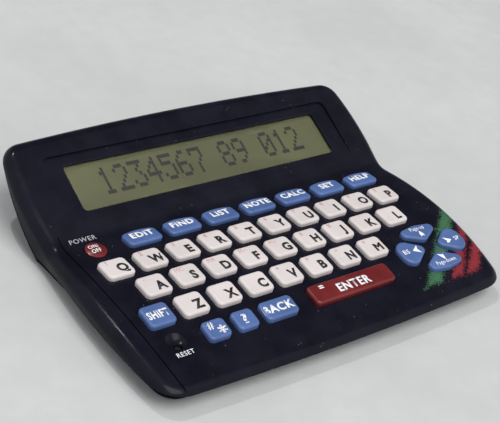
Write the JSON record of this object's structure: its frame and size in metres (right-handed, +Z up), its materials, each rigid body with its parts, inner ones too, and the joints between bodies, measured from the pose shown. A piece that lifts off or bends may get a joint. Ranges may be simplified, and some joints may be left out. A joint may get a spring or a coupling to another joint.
{
  "type": "handheld electronic dictionary",
  "caption": "Palm-sized electronic dictionary with a crowned letter keyboard, cursor cluster and a raised, tilted one-line liquid crystal display on a waisted slab body.",
  "frame": {"origin": "centre of the footprint, on the plane the rubber feet stand on", "axes": "+X to the right for a person who types on it, +Y toward the display, +Z up"},
  "size_m": [0.1236, 0.0875, 0.0201],
  "materials": {
    "housing": "satin, very dark navy",
    "base": "textured, near black navy",
    "window": "clear, glossy",
    "lcd": "olive green, reflective",
    "inner_plastic": "moulded, black",
    "ribbon": "amber film",
    "board": "green, coated",
    "resin": "black resin",
    "switch": "moulded, black",
    "membrane": "silicone, grey",
    "cell": "nickel plated",
    "contact": "nickel plated spring strip",
    "screw": "black finish",
    "foot": "black",
    "white_key": "satin, off-white with a pink cast",
    "blue_key": "satin, mid blue",
    "red_key": "satin, dark red"
  },
  "bodies": {
    "casing": {"battery_cells": "cell", "battery_contacts": "contact", "board_screws": "screw", "bottom_housing": "base", "case_screws": "screw", "chip_blob": "resin", "display_ribbon": "ribbon", "display_window": "window", "key_membrane": "membrane", "lcd_frame": "inner_plastic", "lcd_panel": "lcd", "main_board": "board", "reset_switch": "switch", "rubber_feet": "foot", "top_housing": "housing"},
    "key_a": {"key_a": "white_key"},
    "key_b": {"key_b": "white_key"},
    "key_back": {"key_back": "blue_key"},
    "key_c": {"key_c": "white_key"},
    "key_d": {"key_d": "white_key"},
    "key_down": {"key_down": "blue_key"},
    "key_e": {"key_e": "white_key"},
    "key_enter": {"key_enter": "red_key"},
    "key_f": {"key_f": "white_key"},
    "key_g": {"key_g": "white_key"},
    "key_h": {"key_h": "white_key"},
    "key_hash": {"key_hash": "blue_key"},
    "key_i": {"key_i": "white_key"},
    "key_j": {"key_j": "white_key"},
    "key_k": {"key_k": "white_key"},
    "key_l": {"key_l": "white_key"},
    "key_left": {"key_left": "blue_key"},
    "key_m": {"key_m": "white_key"},
    "key_mode_1": {"key_mode_1": "blue_key"},
    "key_mode_2": {"key_mode_2": "blue_key"},
    "key_mode_3": {"key_mode_3": "blue_key"},
    "key_mode_4": {"key_mode_4": "blue_key"},
    "key_mode_5": {"key_mode_5": "blue_key"},
    "key_mode_6": {"key_mode_6": "blue_key"},
    "key_mode_7": {"key_mode_7": "blue_key"},
    "key_n": {"key_n": "white_key"},
    "key_o": {"key_o": "white_key"},
    "key_on_off": {"key_on_off": "red_key"},
    "key_p": {"key_p": "white_key"},
    "key_q": {"key_q": "white_key"},
    "key_query": {"key_query": "blue_key"},
    "key_r": {"key_r": "white_key"},
    "key_right": {"key_right": "blue_key"},
    "key_s": {"key_s": "white_key"},
    "key_shift": {"key_shift": "blue_key"},
    "key_t": {"key_t": "white_key"},
    "key_u": {"key_u": "white_key"},
    "key_up": {"key_up": "blue_key"},
    "key_v": {"key_v": "white_key"},
    "key_w": {"key_w": "white_key"},
    "key_x": {"key_x": "white_key"},
    "key_y": {"key_y": "white_key"},
    "key_z": {"key_z": "white_key"},
    "reset_button": {"reset_button": "inner_plastic"},
    "battery_cover": {"battery_cover": "base"}
  },
  "joints": [
    {"name": "key_a_press", "type": "slide", "parent": "casing", "child": "key_a", "axis": [0, 0, -1], "range_m": [0, 0.0007], "stiffness_N_per_m": 260, "springref_m": -0.001},
    {"name": "key_b_press", "type": "slide", "parent": "casing", "child": "key_b", "axis": [0, 0, -1], "range_m": [0, 0.0007], "stiffness_N_per_m": 260, "springref_m": -0.001},
    {"name": "key_back_press", "type": "slide", "parent": "casing", "child": "key_back", "axis": [0, 0, -1], "range_m": [0, 0.0007], "stiffness_N_per_m": 260, "springref_m": -0.001},
    {"name": "key_c_press", "type": "slide", "parent": "casing", "child": "key_c", "axis": [0, 0, -1], "range_m": [0, 0.0007], "stiffness_N_per_m": 260, "springref_m": -0.001},
    {"name": "key_d_press", "type": "slide", "parent": "casing", "child": "key_d", "axis": [0, 0, -1], "range_m": [0, 0.0007], "stiffness_N_per_m": 260, "springref_m": -0.001},
    {"name": "key_down_press", "type": "slide", "parent": "casing", "child": "key_down", "axis": [0, 0, -1], "range_m": [0, 0.0007], "stiffness_N_per_m": 260, "springref_m": -0.001},
    {"name": "key_e_press", "type": "slide", "parent": "casing", "child": "key_e", "axis": [0, 0, -1], "range_m": [0, 0.0007], "stiffness_N_per_m": 260, "springref_m": -0.001},
    {"name": "key_enter_press", "type": "slide", "parent": "casing", "child": "key_enter", "axis": [0, 0, -1], "range_m": [0, 0.0007], "stiffness_N_per_m": 260, "springref_m": -0.001},
    {"name": "key_f_press", "type": "slide", "parent": "casing", "child": "key_f", "axis": [0, 0, -1], "range_m": [0, 0.0007], "stiffness_N_per_m": 260, "springref_m": -0.001},
    {"name": "key_g_press", "type": "slide", "parent": "casing", "child": "key_g", "axis": [0, 0, -1], "range_m": [0, 0.0007], "stiffness_N_per_m": 260, "springref_m": -0.001},
    {"name": "key_h_press", "type": "slide", "parent": "casing", "child": "key_h", "axis": [0, 0, -1], "range_m": [0, 0.0007], "stiffness_N_per_m": 260, "springref_m": -0.001},
    {"name": "key_hash_press", "type": "slide", "parent": "casing", "child": "key_hash", "axis": [0, 0, -1], "range_m": [0, 0.0007], "stiffness_N_per_m": 260, "springref_m": -0.001},
    {"name": "key_i_press", "type": "slide", "parent": "casing", "child": "key_i", "axis": [0, 0, -1], "range_m": [0, 0.0007], "stiffness_N_per_m": 260, "springref_m": -0.001},
    {"name": "key_j_press", "type": "slide", "parent": "casing", "child": "key_j", "axis": [0, 0, -1], "range_m": [0, 0.0007], "stiffness_N_per_m": 260, "springref_m": -0.001},
    {"name": "key_k_press", "type": "slide", "parent": "casing", "child": "key_k", "axis": [0, 0, -1], "range_m": [0, 0.0007], "stiffness_N_per_m": 260, "springref_m": -0.001},
    {"name": "key_l_press", "type": "slide", "parent": "casing", "child": "key_l", "axis": [0, 0, -1], "range_m": [0, 0.0007], "stiffness_N_per_m": 260, "springref_m": -0.001},
    {"name": "key_left_press", "type": "slide", "parent": "casing", "child": "key_left", "axis": [0, 0, -1], "range_m": [0, 0.0007], "stiffness_N_per_m": 260, "springref_m": -0.001},
    {"name": "key_m_press", "type": "slide", "parent": "casing", "child": "key_m", "axis": [0, 0, -1], "range_m": [0, 0.0007], "stiffness_N_per_m": 260, "springref_m": -0.001},
    {"name": "key_mode_1_press", "type": "slide", "parent": "casing", "child": "key_mode_1", "axis": [0, 0, -1], "range_m": [0, 0.0007], "stiffness_N_per_m": 260, "springref_m": -0.001},
    {"name": "key_mode_2_press", "type": "slide", "parent": "casing", "child": "key_mode_2", "axis": [0, 0, -1], "range_m": [0, 0.0007], "stiffness_N_per_m": 260, "springref_m": -0.001},
    {"name": "key_mode_3_press", "type": "slide", "parent": "casing", "child": "key_mode_3", "axis": [0, 0, -1], "range_m": [0, 0.0007], "stiffness_N_per_m": 260, "springref_m": -0.001},
    {"name": "key_mode_4_press", "type": "slide", "parent": "casing", "child": "key_mode_4", "axis": [0, 0, -1], "range_m": [0, 0.0007], "stiffness_N_per_m": 260, "springref_m": -0.001},
    {"name": "key_mode_5_press", "type": "slide", "parent": "casing", "child": "key_mode_5", "axis": [0, 0, -1], "range_m": [0, 0.0007], "stiffness_N_per_m": 260, "springref_m": -0.001},
    {"name": "key_mode_6_press", "type": "slide", "parent": "casing", "child": "key_mode_6", "axis": [0, 0, -1], "range_m": [0, 0.0007], "stiffness_N_per_m": 260, "springref_m": -0.001},
    {"name": "key_mode_7_press", "type": "slide", "parent": "casing", "child": "key_mode_7", "axis": [0, 0, -1], "range_m": [0, 0.0007], "stiffness_N_per_m": 260, "springref_m": -0.001},
    {"name": "key_n_press", "type": "slide", "parent": "casing", "child": "key_n", "axis": [0, 0, -1], "range_m": [0, 0.0007], "stiffness_N_per_m": 260, "springref_m": -0.001},
    {"name": "key_o_press", "type": "slide", "parent": "casing", "child": "key_o", "axis": [0, 0, -1], "range_m": [0, 0.0007], "stiffness_N_per_m": 260, "springref_m": -0.001},
    {"name": "key_on_off_press", "type": "slide", "parent": "casing", "child": "key_on_off", "axis": [0, 0, -1], "range_m": [0, 0.0007], "stiffness_N_per_m": 260, "springref_m": -0.001},
    {"name": "key_p_press", "type": "slide", "parent": "casing", "child": "key_p", "axis": [0, 0, -1], "range_m": [0, 0.0007], "stiffness_N_per_m": 260, "springref_m": -0.001},
    {"name": "key_q_press", "type": "slide", "parent": "casing", "child": "key_q", "axis": [0, 0, -1], "range_m": [0, 0.0007], "stiffness_N_per_m": 260, "springref_m": -0.001},
    {"name": "key_query_press", "type": "slide", "parent": "casing", "child": "key_query", "axis": [0, 0, -1], "range_m": [0, 0.0007], "stiffness_N_per_m": 260, "springref_m": -0.001},
    {"name": "key_r_press", "type": "slide", "parent": "casing", "child": "key_r", "axis": [0, 0, -1], "range_m": [0, 0.0007], "stiffness_N_per_m": 260, "springref_m": -0.001},
    {"name": "key_right_press", "type": "slide", "parent": "casing", "child": "key_right", "axis": [0, 0, -1], "range_m": [0, 0.0007], "stiffness_N_per_m": 260, "springref_m": -0.001},
    {"name": "key_s_press", "type": "slide", "parent": "casing", "child": "key_s", "axis": [0, 0, -1], "range_m": [0, 0.0007], "stiffness_N_per_m": 260, "springref_m": -0.001},
    {"name": "key_shift_press", "type": "slide", "parent": "casing", "child": "key_shift", "axis": [0, 0, -1], "range_m": [0, 0.0007], "stiffness_N_per_m": 260, "springref_m": -0.001},
    {"name": "key_t_press", "type": "slide", "parent": "casing", "child": "key_t", "axis": [0, 0, -1], "range_m": [0, 0.0007], "stiffness_N_per_m": 260, "springref_m": -0.001},
    {"name": "key_u_press", "type": "slide", "parent": "casing", "child": "key_u", "axis": [0, 0, -1], "range_m": [0, 0.0007], "stiffness_N_per_m": 260, "springref_m": -0.001},
    {"name": "key_up_press", "type": "slide", "parent": "casing", "child": "key_up", "axis": [0, 0, -1], "range_m": [0, 0.0007], "stiffness_N_per_m": 260, "springref_m": -0.001},
    {"name": "key_v_press", "type": "slide", "parent": "casing", "child": "key_v", "axis": [0, 0, -1], "range_m": [0, 0.0007], "stiffness_N_per_m": 260, "springref_m": -0.001},
    {"name": "key_w_press", "type": "slide", "parent": "casing", "child": "key_w", "axis": [0, 0, -1], "range_m": [0, 0.0007], "stiffness_N_per_m": 260, "springref_m": -0.001},
    {"name": "key_x_press", "type": "slide", "parent": "casing", "child": "key_x", "axis": [0, 0, -1], "range_m": [0, 0.0007], "stiffness_N_per_m": 260, "springref_m": -0.001},
    {"name": "key_y_press", "type": "slide", "parent": "casing", "child": "key_y", "axis": [0, 0, -1], "range_m": [0, 0.0007], "stiffness_N_per_m": 260, "springref_m": -0.001},
    {"name": "key_z_press", "type": "slide", "parent": "casing", "child": "key_z", "axis": [0, 0, -1], "range_m": [0, 0.0007], "stiffness_N_per_m": 260, "springref_m": -0.001},
    {"name": "reset_button_press", "type": "slide", "parent": "casing", "child": "reset_button", "axis": [0, 0, -1], "range_m": [0, 0.0003], "stiffness_N_per_m": 260, "springref_m": -0.001},
    {"name": "battery_cover_slide", "type": "slide", "parent": "casing", "child": "battery_cover", "axis": [0, 1, 0], "range_m": [0, 0.0206]}
  ]
}
